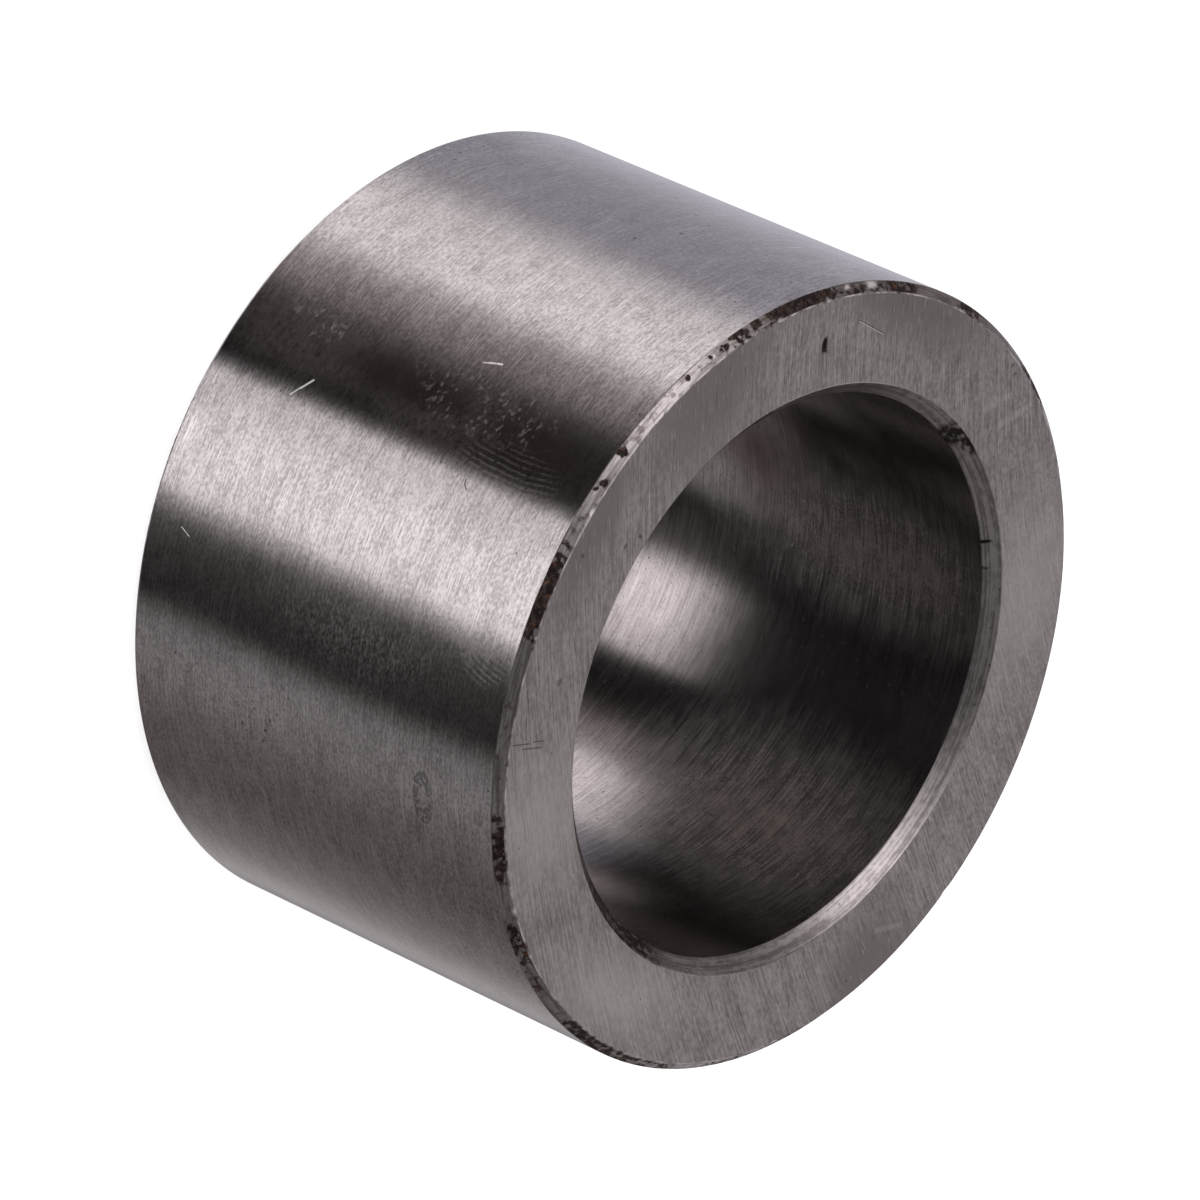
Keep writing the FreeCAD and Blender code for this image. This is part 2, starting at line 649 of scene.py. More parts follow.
def off_oval(tree, flat, middle, half_sizes):
    """How far a point is from the middle of an oval, where 1 is its edge. Sizes in mm."""
    away = add(tree, "VectorMath", {0: flat, 1: (*middle, 0)}, operation="SUBTRACT")
    away = add(tree, "VectorMath", {0: away, 1: (*half_sizes, 1)}, operation="DIVIDE")
    return add(tree, "VectorMath", {0: away}, operation="LENGTH").node.outputs["Value"]


def blob(tree, flat, middle, half_sizes, hard):
    """1 within the hard share of an oval on a flat or unrolled surface, fading to its edge. Sizes in mm."""
    off = off_oval(tree, flat, middle, half_sizes)
    inputs = {"Value": off, "From Min": 1.0, "From Max": hard}
    return add(tree, "MapRange", inputs, interpolation_type="SMOOTHSTEP")


def blobs(tree, flat, ovals, hard=0.5):
    """1 inside any of several ovals, each given as its middle and half sizes."""
    return most(tree, [blob(tree, flat, middle, half_sizes, hard) for middle, half_sizes in ovals])


def halo(tree, flat, middle, half_sizes):
    """1 on the outline of an oval, as a dried drop leaves it."""
    outline, reach = 0.75, 0.3
    off = off_oval(tree, flat, middle, half_sizes)
    level = add(tree, "Math", {0: off, 1: outline, 2: reach}, operation="COMPARE")
    ragged = marks(tree, flat, size=(0.3, 0.3, 0.3), low=0.36, high=0.52, detail=2.0)
    return together(tree, level, ragged)


def threads(tree, place, size):
    """Thin curling lines, where noise passes through its middle value."""
    solid, reach = 0.01, 0.04
    off = add(tree, "Math", {0: grain(tree, place, size, detail=1.0), 1: MIDDLE}, operation="SUBTRACT")
    off = add(tree, "Math", {0: off}, operation="ABSOLUTE")
    inputs = {"Value": off, "From Min": reach, "From Max": solid}
    return add(tree, "MapRange", inputs, interpolation_type="SMOOTHSTEP")


def ripples(tree, flat, middle, stretch, pitch):
    """Fine ridges in broken arcs round a point of an unrolled surface, as a greasy rub leaves them."""
    away = add(tree, "VectorMath", {0: flat, 1: (*middle, 0)}, operation="SUBTRACT")
    away = add(tree, "VectorMath", {0: away, 1: (*stretch, 0)}, operation="MULTIPLY")
    off = add(tree, "VectorMath", {0: away}, operation="LENGTH").node.outputs["Value"]
    waver = together(tree, grain(tree, flat, size=(3.5, 3.5, 3.5), detail=1.0), share=0.5)
    off = add(tree, "Math", {0: off, 1: waver}, operation="ADD")
    wave = add(tree, "Math", {0: together(tree, off, FULL_TURN / pitch)}, operation="SINE")
    inputs = {"Value": wave, "From Min": -0.3, "From Max": 0.8}
    ridges = add(tree, "MapRange", inputs, interpolation_type="SMOOTHSTEP")
    return together(tree, ridges, marks(tree, flat, size=(0.3, 0.3, 0.3), low=0.32, high=0.52))


def finish_steel(tree, colour, metallic, roughness, height, depth, anisotropy):
    """The steel's shader. height is what stands up, from 0 to 1, and depth its size in mm."""
    bump = add(tree, "Bump", {"Height": height, "Strength": 1.0, "Distance": depth * MM})
    inputs = {
        "Base Color": colour,
        "Metallic": metallic,
        "Roughness": roughness,
        "Normal": bump,
        "Anisotropic": anisotropy,
        "Anisotropic Rotation": SHINE_TURN,
    }
    shader = add(tree, "BsdfPrincipled", inputs)
    add(tree, "OutputMaterial", {"Surface": shader})


def on_wall(degrees, height):
    """Where an angle and a height come on the unrolled outside wall, in mm."""
    return math.radians(degrees) * WALL_RADIUS, height


def in_bore(degrees, height):
    """Where an angle and a height come on the unrolled bore, in mm."""
    return math.radians(degrees) * BORE_RADIUS, height


# Scratches and hairs on the outside wall, each from point to point, and its half width in mm. A point is
# given by its angle in degrees and its height in mm.
WALL_SCRATCHES = (
    (on_wall(-100.9, 9.15), on_wall(-99.2, 8.55), 0.085),
    (on_wall(-99.5, 8.6), on_wall(-97.8, 8.0), 0.055),
    (on_wall(-113.75, 21.85), on_wall(-113.6, 21.5), 0.09),
    (on_wall(-113.5, 21.35), on_wall(-113.2, 20.85), 0.08),
    (on_wall(-113.1, 20.75), on_wall(-112.9, 20.45), 0.05),
    (on_wall(-75.0, 3.5), on_wall(-74.2, 4.35), 0.04),
)
WALL_HAIRS = (
    (on_wall(-96.9, 24.8), on_wall(-96.2, 24.9), 0.06),
    (on_wall(-96.2, 24.9), on_wall(-95.6, 25.25), 0.05),
    (on_wall(-27.3, 33.2), on_wall(-26.8, 33.7), 0.045),
    (on_wall(-26.8, 33.7), on_wall(-26.3, 33.5), 0.045),
)
# Ovals on it, each by its middle and half sizes: small dark pits, then where handling left pale flakes or a
# fine smudge, where a thin film evens out the shine, where grease lies, where old oil went brown, and specks.
WALL_PITS = (
    (on_wall(-150.2, 21.8), (0.12, 0.24)),
    (on_wall(-158.0, 19.6), (0.10, 0.26)),
    (on_wall(-161.9, 16.0), (0.12, 0.14)),
    (on_wall(-164.4, 4.2), (0.12, 0.2)),
    (on_wall(-45.2, 17.4), (0.13, 0.13)),
)
WALL_BLOOM = (
    (on_wall(-106.8, 23.0), (3.4, 10.5)),
    (on_wall(-109.0, 7.0), (2.2, 5.0)),
    (on_wall(-149.0, 24.0), (2.6, 7.5)),
    (on_wall(-143.0, 6.0), (6.0, 5.5)),
    (on_wall(-76.5, 30.0), (1.5, 3.5)),
)
WALL_SMUDGE = ((on_wall(-72.0, 20.5), (4.4, 13.0)), (on_wall(-56.0, 12.0), (3.0, 8.0)))
WALL_FILM = ((on_wall(-152.0, 17.0), (15.0, 24.0)), (on_wall(-20.0, 17.0), (10.0, 24.0)))
WALL_GREASE = ((on_wall(-104.5, 21.0), (4.2, 14.0)), (on_wall(-105.5, 8.0), (3.8, 14.0)))
WALL_BROWN = ((on_wall(-104.5, 30.0), (4.6, 11.0)), (on_wall(-106.0, 17.0), (2.3, 10.0)))
WALL_SPECKS = ((on_wall(-30.0, 24.0), (1.7, 1.6)), (on_wall(-52.0, 12.0), (4.0, 5.0)))
# Where a drop dried.
WALL_STAIN = (on_wall(-52.8, 28.0), (1.9, 0.9))
# Ridges of a greasy rub on the wall: middle of its arcs, their stretch, and the oval that they cover.
RUB_PITCH = 0.41
RUBS = (
    (on_wall(-112.0, 27.4), (1.0, 0.5), (on_wall(-100.6, 27.4), (2.4, 6.2))),
    (on_wall(-88.0, 35.0), (1.0, 0.8), (on_wall(-75.3, 32.0), (1.9, 2.4))),
)


def rubbed(tree, flat):
    """1 on the ridges of every greasy rub."""
    ridges = []
    for middle, stretch, cover in RUBS:
        arcs = ripples(tree, flat, middle, stretch, RUB_PITCH)
        ridges.append(together(tree, arcs, blob(tree, flat, *cover, hard=0.5)))
    return most(tree, ridges)


def ground_wall(colours):
    """Cylindrically ground steel: fine scratches run round it and spread light up and down its height."""
    material, tree = new_material("cylindrically_ground_steel")
    place = place_in_mm(tree)
    flat = unrolled(tree, place, WALL_RADIUS)
    # One scratch of the grinding wheel is 0.02 mm wide. It is drawn 0.12 mm wide, so that it shows.
    pebble = grain(tree, place, size=(0.30, 0.30, 0.16), detail=2.0, roughness=0.6)
    streak = grain(tree, place, size=(2.6, 2.6, 0.12), detail=2.0)
    cloud = grain(tree, place, size=(2.2, 2.2, 1.6), detail=3.0, roughness=0.6)
    fine = add(tree, "Mix", {"Factor": 0.38, "A": pebble, "B": streak})
    tone = add(tree, "Mix", {"Factor": 0.22, "A": fine, "B": cloud})
    film = together(tree, blobs(tree, flat, WALL_FILM, hard=0.3), share=0.5)
    tone = add(tree, "Mix", {"Factor": film, "A": tone, "B": MIDDLE})
    colour = toned(tree, tone, low=0.37, high=0.63, dull=colours.dull_steel, bright=colours.ground_steel)

    # Single marks that stand out: dark ones, long bright ones in groups, and short bright ones.
    dark = marks(tree, place, size=(1.2, 1.2, 0.14), low=0.36, high=0.28)
    colour = laid(tree, colour, colours.worn_scale, mask=dark, share=0.16)
    grouped = marks(tree, place, size=(2.6, 2.6, 1.4), low=0.44, high=0.60)
    long_glints = marks(tree, place, size=(3.4, 3.4, 0.12), low=0.61, high=0.70)
    short_glints = marks(tree, place, size=(0.6, 0.6, 0.12), low=0.66, high=0.74)
    glints = [together(tree, long_glints, grouped), together(tree, short_glints, share=0.6)]
    colour = laid(tree, colour, colours.cut_metal, mask=most(tree, glints), share=0.5)

    # Grease, old oil, pale flakes from handling, and the ridges of a rub.
    crumbs = grain(tree, place, size=(0.36, 0.36, 0.22), detail=4.0, roughness=0.65)
    inputs = {"Value": crumbs, "From Min": 0.30, "From Max": 0.74, "To Min": 0.1}
    speckled = add(tree, "MapRange", inputs)
    grease = together(tree, blobs(tree, flat, WALL_GREASE, hard=0.2), speckled)
    colour = laid(tree, colour, colours.oil_film, mask=grease, share=0.85)
    brown = blobs(tree, flat, WALL_BROWN, hard=0.2)
    colour = laid(tree, colour, colours.worn_scale, mask=brown, share=0.72)
    patchy = marks(tree, place, size=(1.2, 1.2, 1.3), low=0.35, high=0.55, detail=2.0)
    flakes = marks(tree, place, size=(0.46, 0.46, 0.34), low=0.47, high=0.66, detail=5.0)
    curls = together(tree, threads(tree, place, size=(0.8, 0.8, 0.8)), share=0.35)
    bloom = together(tree, most(tree, [flakes, curls]), patchy, share=0.8)
    bloom = together(tree, bloom, blobs(tree, flat, WALL_BLOOM, hard=0.3))
    smudge = marks(tree, place, size=(0.34, 0.34, 0.18), low=0.40, high=0.68, detail=3.0)
    smudge = together(tree, smudge, blobs(tree, flat, WALL_SMUDGE, hard=0.0), share=0.32)
    haze = most(tree, [bloom, smudge, together(tree, rubbed(tree, flat), share=0.45)])
    colour = laid(tree, colour, colours.haze, mask=haze, share=0.9)

    # Dirt: pits, hairs, specks and the ring of a dried drop.
    specks = marks(tree, place, size=(0.35, 0.35, 0.35), low=0.66, high=0.72)
    specks = together(tree, specks, blobs(tree, flat, WALL_SPECKS, hard=0.3))
    strewn = marks(tree, place, size=(0.3, 0.3, 0.3), low=0.84, high=0.88, detail=0.0)
    stain = together(tree, halo(tree, flat, *WALL_STAIN), share=0.75)
    hairs = strokes(tree, flat, WALL_HAIRS)
    dirt = most(tree, [specks, strewn, blobs(tree, flat, WALL_PITS), stain, hairs])
    colour = laid(tree, colour, colours.black_scale, mask=dirt, share=0.85)

    scratches = strokes(tree, flat, WALL_SCRATCHES)
    colour = laid(tree, colour, colours.cut_metal, mask=scratches, share=1.0)
    covers = [(haze, 0.4), (grease, 0.17), (brown, 0.08), (scratches, 0.7), (dirt, 0.3)]
    metallic = left_bare(tree, covers)
    roughness = add(tree, "MapRange", {"Value": tone, "To Min": 0.13, "To Max": 0.19})
    finish_steel(tree, colour, metallic, roughness, height=fine, depth=0.0006, anisotropy=1.0)
    return material


# Scratches, bright lines and smears on the upper end face, each from point to point, and its half width, in
# mm from the bore's axis. The last scratch is a painted shadow beside the bright line.
FACE_SCRATCHES_AND_SHADOW = (
    ((11.29, -24.65), (10.77, -23.19), 0.06),
    ((11.25, -23.54), (10.69, -21.9), 0.06),
    ((10.55, -22.82), (10.22, -21.93), 0.05),
    ((10.0, -22.81), (10.44, -22.54), 0.05),
    ((9.2, -24.61), (10.61, -23.65), 0.04),
    # Painted shadow beside the bright line below, drawn as a dark scratch.
    ((-23.75, -9.32), (-23.69, -6.34), 0.035),
)
FACE_GLINTS = (((-23.66, -9.3), (-23.6, -6.4), 0.03),)
FACE_SMEARS = (
    ((-22.09, 7.44), (-23.75, 9.33), 0.3),
    ((-21.63, 9.68), (-23.75, 11.87), 0.3),
    ((13.2, 20.5), (12.2, 22.8), 0.25),
    ((17.2, 16.0), (18.9, 18.6), 0.22),
)
# Ovals on it: small stains, then broad patches of painted shade, laid on darker, and of painted light, laid
# on lighter.
FACE_SPOTS = (
    ((-25.66, 8.25), (0.22, 0.28)),
    ((-25.2, 8.9), (0.16, 0.2)),
    ((6.3, -22.9), (0.4, 0.3)),
    ((-1.9, -26.1), (0.2, 0.22)),
    ((-3.6, -22.4), (0.3, 0.2)),
    ((-4.6, -21.4), (0.16, 0.28)),
    ((17.2, 19.6), (0.14, 0.14)),
)
FACE_PAINTED_SHADE = (
    ((-15.5, -21.5), (11.0, 8.0)),
    ((-4.0, -26.5), (10.0, 4.0)),
    ((-26.5, -5.0), (4.0, 14.0)),
    ((16.0, 21.5), (8.0, 7.0)),
)
FACE_PAINTED_LIGHT = (
    ((15.0, -18.5), (9.0, 9.0)),
    ((24.0, -4.0), (5.0, 12.0)),
    ((-12.5, 20.0), (13.0, 10.0)),
)


def along_lay(tree, place):
    """A point of an end face in mm along the arcs that it was ground in, mm across them, and mm up."""
    away = add(tree, "VectorMath", {0: place, 1: (*LAY_CENTRE, 0.0)}, operation="SUBTRACT")
    parts = add(tree, "SeparateXYZ", {"Vector": away}).node.outputs
    angle = add(tree, "Math", {0: parts["Y"], 1: parts["X"]}, operation="ARCTAN2")
    level = add(tree, "VectorMath", {0: away, 1: (1, 1, 0)}, operation="MULTIPLY")
    out = add(tree, "VectorMath", {0: level}, operation="LENGTH").node.outputs["Value"]
    around = together(tree, angle, LAY_RADIUS)
    return add(tree, "CombineXYZ", {"X": around, "Y": out, "Z": parts["Z"]})


def ground_face(colours):
    """Surface ground steel: long parallel arcs from a cup wheel, and a matt sheen that shifts across them,
    partly as broad patches of painted shade and painted light.
    """
    material, tree = new_material("surface_ground_steel")
    place = place_in_mm(tree)
    lay = along_lay(tree, place)
    flat = add(tree, "VectorMath", {0: place, 1: (0, 0, UPPER_FACE)}, operation="SUBTRACT")

    # A grit mark is 0.03 mm wide. It is drawn 0.14 mm wide, so that it shows.
    pebble = grain(tree, lay, size=(0.5, 0.26, 1.0), detail=2.0, roughness=0.6)
    streak = grain(tree, lay, size=(6.0, 0.14, 1.0), detail=3.0, roughness=0.6)
    cloud = grain(tree, lay, size=(2.2, 1.3, 1.0), detail=3.0, roughness=0.65)
    fine = add(tree, "Mix", {"Factor": 0.6, "A": pebble, "B": streak})
    tone = add(tree, "Mix", {"Factor": 0.25, "A": fine, "B": cloud})
    colour = toned(tree, tone, low=0.385, high=0.615, dull=colours.dull_steel, bright=colours.ground_steel)
    # Painted shade: broad darker patches, laid on in the haze colour.
    painted_shade = blobs(tree, flat, FACE_PAINTED_SHADE, hard=0.2)
    colour = laid(tree, colour, colours.haze, mask=painted_shade, share=0.9)
    dashes = marks(tree, lay, size=(2.2, 0.14, 1.0), low=0.36, high=0.29)
    colour = laid(tree, colour, colours.worn_scale, mask=dashes, share=0.4)

    smears = strokes(tree, flat, FACE_SMEARS)
    # Painted light: broad lighter patches, laid on in the cut metal colour with the bright marks.
    painted_light = together(tree, blobs(tree, flat, FACE_PAINTED_LIGHT, hard=0.0), share=0.5)
    glints = together(tree, marks(tree, lay, size=(1.6, 0.13, 1.0), low=0.65, high=0.74), share=0.5)
    lines = strokes(tree, flat, FACE_GLINTS)
    bright = most(tree, [painted_light, glints, together(tree, smears, share=0.2), lines])
    colour = laid(tree, colour, colours.cut_metal, mask=bright, share=1.0)
    # Dark scratches, and one painted shadow beside a bright line.
    scratches = strokes(tree, flat, FACE_SCRATCHES_AND_SHADOW)
    colour = laid(tree, colour, colours.worn_scale, mask=scratches, share=0.6)

    pit = add(tree, "Attribute", attribute_name="pit").node.outputs["Fac"]
    pit = add(tree, "MapRange", {"Value": pit, "From Min": 0.1, "From Max": 0.5})
    specks = together(tree, marks(tree, lay, size=(0.4, 0.25, 1.0), low=0.75, high=0.81), share=0.75)
    spots = together(tree, blobs(tree, flat, FACE_SPOTS), share=0.5)
    dirt = most(tree, [pit, specks, spots])
    colour = laid(tree, colour, colours.black_scale, mask=dirt, share=1.0)
    metallic = left_bare(tree, [(dirt, 0.8), (smears, 0.1)])
    roughness = add(tree, "MapRange", {"Value": tone, "To Min": 0.36, "To Max": 0.46})
    finish_steel(tree, colour, metallic, roughness, height=fine, depth=0.0016, anisotropy=0.5)
    return material


def scaled_rim(colours):
    """Turned steel chamfer with black mill scale in patches: matt, ragged, and brown where it is thin."""
    material, tree = new_material("turned_steel_with_mill_scale")
    place = place_in_mm(tree)
    cover = add(tree, "Attribute", attribute_name="scale_cover").node.outputs["Fac"]
    fresh = add(tree, "Attribute", attribute_name="fresh_metal").node.outputs["Fac"]
    # The tool's feed left a ring every 0.08 mm. They are drawn 0.14 mm apart, so that they show.
    lines = grain(tree, place, size=(2.5, 2.5, 0.14), detail=3.0, roughness=0.6)
    ragged = marks(tree, place, size=(0.55, 0.55, 0.42), low=0.36, high=0.64, detail=5.0)
    crumbs = grain(tree, place, size=(0.42, 0.42, 0.32), detail=4.0, roughness=0.7)
    # Scale lies where its cover and the ragged noise together pass a level. A stain reaches further out.
    spread = add(tree, "Math", {0: ragged, 1: 0.9, 2: -0.45}, operation="MULTIPLY_ADD")
    amount = add(tree, "Math", {0: cover, 1: 1.1, 2: spread}, operation="MULTIPLY_ADD")
    inputs = {"Value": amount, "From Min": 0.48, "From Max": 0.72}
    scale = add(tree, "MapRange", inputs, interpolation_type="SMOOTHSTEP")
    inputs = {"Value": amount, "From Min": 0.10, "From Max": 0.55}
    stained = add(tree, "MapRange", inputs, interpolation_type="SMOOTHSTEP")

    colour = toned(tree, lines, low=0.38, high=0.62, dull=colours.dull_steel, bright=colours.ground_steel)
    rough = marks(tree, place, size=(0.3, 0.3, 0.22), low=0.45, high=0.65, detail=3.0)
    colour = laid(tree, colour, colours.haze, mask=rough, share=0.25)
    colour = laid(tree, colour, colours.worn_scale, mask=stained, share=0.55)
    black = toned(tree, crumbs, low=0.44, high=0.64, dull=colours.black_scale, bright=colours.worn_scale)
    orange = marks(tree, place, size=(0.55, 0.55, 0.55), low=0.60, high=0.74, detail=3.0)
    black = laid(tree, black, colours.rust, mask=orange, share=0.7)
    colour = laid(tree, colour, black, mask=scale, share=1.0)
    colour = laid(tree, colour, colours.cut_metal, mask=fresh, share=1.0)
    metallic = left_bare(tree, [(scale, 0.75), (stained, 0.25), (fresh, 0.8)])
    roughness = add(tree, "MapRange", {"Value": scale, "To Min": 0.28, "To Max": 0.62})
    height = add(tree, "Mix", {"Factor": scale, "A": lines, "B": crumbs})
    finish_steel(tree, colour, metallic, roughness, height, depth=0.010, anisotropy=0.5)
    return material


# Stains on the upper lead-in, and a patch of painted shade: ovals on the unrolled bore.
LEAD_IN_STAINS_AND_SHADE = (
    (in_bore(163.5, 34.5), (1.6, 1.2)),
    (in_bore(159.5, 34.8), (1.6, 0.5)),
    (in_bore(134.0, 34.2), (0.2, 0.5)),
    (in_bore(128.0, 34.1), (0.14, 0.3)),
    # Painted shade: a long dark patch, laid on as a stain.
    (in_bore(-17.0, 34.5), (8.0, 1.8)),
    (in_bore(-130.0, 34.5), (5.4, 1.4)),
)


def turned_lead_in(colours):
    """Turned steel: fine even rings left by the tool, under a dull even sheen."""
    material, tree = new_material("turned_steel")
    place = place_in_mm(tree)
    flat = unrolled(tree, place, BORE_RADIUS)
    # The tool's feed left a ring every 0.08 mm. They are drawn 0.14 mm apart, so that they show.
    rings = grain(tree, place, size=(12.0, 12.0, 0.14), detail=2.0)
    mottle = grain(tree, place, size=(0.8, 0.8, 0.3), detail=3.0, roughness=0.65)
    tone = add(tree, "Mix", {"Factor": 0.45, "A": rings, "B": mottle})
    colour = toned(tree, tone, low=0.40, high=0.60, dull=colours.dull_steel, bright=colours.ground_steel)
    ragged = marks(tree, place, size=(0.7, 0.7, 0.4), low=0.28, high=0.52, detail=4.0)
    # The stain and dirt masks also hold the painted shade at -17 degrees.
    stain = together(tree, blobs(tree, flat, LEAD_IN_STAINS_AND_SHADE), ragged)
    strewn = marks(tree, place, size=(0.3, 0.3, 0.3), low=0.74, high=0.80)
    dirt = most(tree, [stain, strewn])
    colour = laid(tree, colour, colours.black_scale, mask=dirt, share=0.97)
    metallic = left_bare(tree, [(dirt, 0.45)])
    finish_steel(tree, colour, metallic, roughness=0.27, height=rings, depth=0.0035, anisotropy=0.6)
    return material


# Ovals on the unrolled bore: pale patches, where an oil film lies, and where old oil went brown.
# The brown oval at 131 degrees is painted shade, laid on as old oil.
BORE_BLOOM = (
    (in_bore(115.5, 17.5), (1.7, 3.8)),
    (in_bore(115.5, 30.6), (1.4, 2.0)),
    (in_bore(121.0, 27.0), (3.6, 6.0)),
)
BORE_FILM = (
    (in_bore(62.0, 24.5), (10.5, 20.0)),
    (in_bore(121.5, 24.5), (7.6, 21.0)),
)
BORE_BROWN_AND_SHADE = (
    # Painted shade, laid on as old oil gone brown.
    (in_bore(131.0, 13.5), (5.5, 6.5)),
    (in_bore(20.0, 28.0), (6.0, 13.0)),
    (in_bore(146.0, 20.0), (4.2, 8.0)),
)
# The hone moved up and down as it turned, so its marks climb a little, one set along X and one along Y.
HONE_SLOPES = (("X", 0.05), ("Y", -0.16))


def honed_bore(colours):
    """Honed steel under a thin brown oil film: crossed fine scratches in a darker, warmer shine, with painted
    shade in one patch.
    """
    material, tree = new_material("honed_steel_with_oil_film")
    place = place_in_mm(tree)
    flat = unrolled(tree, place, BORE_RADIUS)
    parts = add(tree, "SeparateXYZ", {"Vector": place}).node.outputs
    climbs = []
    for axis, slope in HONE_SLOPES:
        inputs = {0: parts[axis], 1: slope, 2: parts["Z"]}
        climb = add(tree, "Math", inputs, operation="MULTIPLY_ADD")
        climbs.append(add(tree, "CombineXYZ", {"X": parts["X"], "Y": parts["Y"], "Z": climb}))
    # Honing marks are 0.01 mm wide. They are drawn 0.12 to 0.14 mm wide, so that they show.
    pebble = grain(tree, place, size=(0.22, 0.22, 0.17), detail=2.0, roughness=0.6)
    streak = grain(tree, climbs[0], size=(4.5, 4.5, 0.13), detail=2.0, roughness=0.6)
    crossed = grain(tree, climbs[1], size=(3.4, 3.4, 0.14), detail=2.0, roughness=0.6)
    cloud = grain(tree, place, size=(1.4, 1.4, 1.1), detail=3.0, roughness=0.7)
    fine = add(tree, "Mix", {"Factor": 0.5, "A": streak, "B": crossed})
    fine = add(tree, "Mix", {"Factor": 0.3, "A": fine, "B": pebble})
    tone = add(tree, "Mix", {"Factor": 0.2, "A": fine, "B": cloud})
    colour = toned(tree, tone, low=0.37, high=0.63, dull=colours.dull_steel, bright=colours.ground_steel)
    glints = most(tree, [marks(tree, climb, size=(3.4, 3.4, 0.12), low=0.64, high=0.76) for climb in climbs])
    colour = laid(tree, colour, colours.cut_metal, mask=glints, share=0.35)

    # Old oil, thicker in some places, and pale patches in it. Where it lies at 131 degrees it is painted
    # shade.
    brown = blobs(tree, flat, BORE_BROWN_AND_SHADE, hard=0.0)
    colour = laid(tree, colour, colours.worn_scale, mask=brown, share=0.7)
    inputs = {"Value": fine, "From Min": 0.32, "From Max": 0.68, "To Min": 0.2}
    lined = add(tree, "MapRange", inputs)
    inputs = {"Value": cloud, "From Min": 0.3, "From Max": 0.7, "To Min": 0.6}
    uneven = add(tree, "MapRange", inputs)
    film = together(tree, blobs(tree, flat, BORE_FILM, hard=0.0), uneven)
    thin_tint, thin_film = 0.2, 0.03
    tint = together(tree, most(tree, [film, thin_tint]), lined)
    colour = laid(tree, colour, colours.oil_film, mask=tint, share=0.9)
    film = together(tree, most(tree, [film, thin_film]), lined)
    crumbs = marks(tree, place, size=(0.4, 0.4, 0.22), low=0.50, high=0.70, detail=3.0)
    bloom = together(tree, crumbs, blobs(tree, flat, BORE_BLOOM, hard=0.0))
    colour = laid(tree, colour, colours.haze, mask=bloom, share=0.8)
    pores = marks(tree, place, size=(0.26, 0.26, 0.2), low=0.70, high=0.78)
    colour = laid(tree, colour, colours.black_scale, mask=pores, share=0.7)
    metallic = left_bare(tree, [(bloom, 0.6), (film, 0.75), (pores, 0.4), (glints, 0.04)])
    roughness = add(tree, "MapRange", {"Value": tone, "To Min": 0.15, "To Max": 0.19})
    finish_steel(tree, colour, metallic, roughness, height=fine, depth=0.0006, anisotropy=0.4)
    return material


# Studio

# The soft boxes and dark cards round the sleeve, below its upper end: degrees round, brightness and tint.
LOWER_RING = (
    (-180, 0.775, "warm"),
    (-168, 0.90, "warm"),
    (-156, 0.945, "warm"),
    (-150, 0.44, "warm"),
    (-144, 0.25, "brown"),
    (-138, 0.20, "brown"),
    (-132, 0.044, "brown"),
    (-125, 0.0, "brown"),
    (-110, 0.0, "brown"),
    (-107, 0.14, "warm"),
    (-104, 0.75, "warm"),
    (-96, 0.85, "warm"),
    (-90, 1.03, "warm"),
    (-78, 1.09, "warm"),
    (-70, 0.99, "warm"),
    (-66, 0.45, "warm"),
    (-61, 0.11, "neutral"),
    (-54, 0.052, "neutral"),
    (-37, 0.009, "neutral"),
    (-31, 0.20, "warm"),
    (-18, 0.225, "warm"),
    (-3, 0.13, "brown"),
    (18, 0.097, "brown"),
    (42, 0.20, "neutral"),
    (66, 0.42, "neutral"),
    (80, 0.16, "cool"),
    (90, 0.68, "cool"),
    (97, 0.55, "cool"),
    (108, 0.525, "cool"),
    (144, 0.33, "cool"),
    (170, 0.345, "cool"),
)
# The dim room level with the sleeve.
MIDDLE_RING = (
    (-180, 0.18, "brown"),
    (-150, 0.22, "brown"),
    (-130, 0.04, "brown"),
    (-112, 0.02, "brown"),
    (-90, 0.10, "brown"),
    (-60, 0.03, "brown"),
    (-30, 0.05, "brown"),
    (18, 0.08, "brown"),
    (52, 0.14, "brown"),
    (75, 0.38, "neutral"),
    (102, 0.16, "brown"),
    (128, 0.15, "brown"),
    (160, 0.15, "brown"),
)
# The room above it, where the main lamp stands to the left.
UPPER_RING = (
    (-180, 0.42, "neutral"),
    (-163, 0.98, "neutral"),
    (-152, 1.02, "neutral"),
    (-141, 0.91, "neutral"),
    (-117, 0.35, "neutral"),
    (-90, 0.20, "neutral"),
    (-63, 0.09, "neutral"),
    (-28, 0.12, "neutral"),
    (20, 0.15, "neutral"),
    (60, 0.20, "neutral"),
    (90, 0.325, "neutral"),
    (120, 0.23, "neutral"),
    (150, 0.14, "neutral"),
    (170, 0.25, "neutral"),
)
TINTS = {
    "warm": Vector((1.0, 0.96, 0.97)),
    "neutral": Vector((1.0, 0.945, 0.95)),
    "cool": Vector((0.96, 0.94, 1.06)),
    "brown": Vector((1.06, 0.945, 0.94)),
}
# Where one ring gives way to the next: how steep the ray is, from -1 straight down to 1 straight up.
MIDDLE_JOIN = (-0.42, -0.22)
UPPER_JOIN = (0.25, 0.55)
WHITE = (1, 1, 1, 1)
BLACK = (0, 0, 0, 1)
# Where the camera stands, the point that it looks at, and the nearest and furthest that it sees, in metres.
CAMERA_PLACE = Vector((0.277, -585.822, 477.213)) * MM
CAMERA_AIM = Vector((0.277, -0.099, 17.374)) * MM
CAMERA_NEAR = 0.01
CAMERA_FAR = 20.0
# In mm, as a camera's sensor is given.
SENSOR_WIDTH = 36.0
# The floor, and the soft panel above the sleeve, in metres.
FLOOR_SIZE = 3.0
PANEL_SIZE = 0.6
PANEL_HEIGHT = 0.9
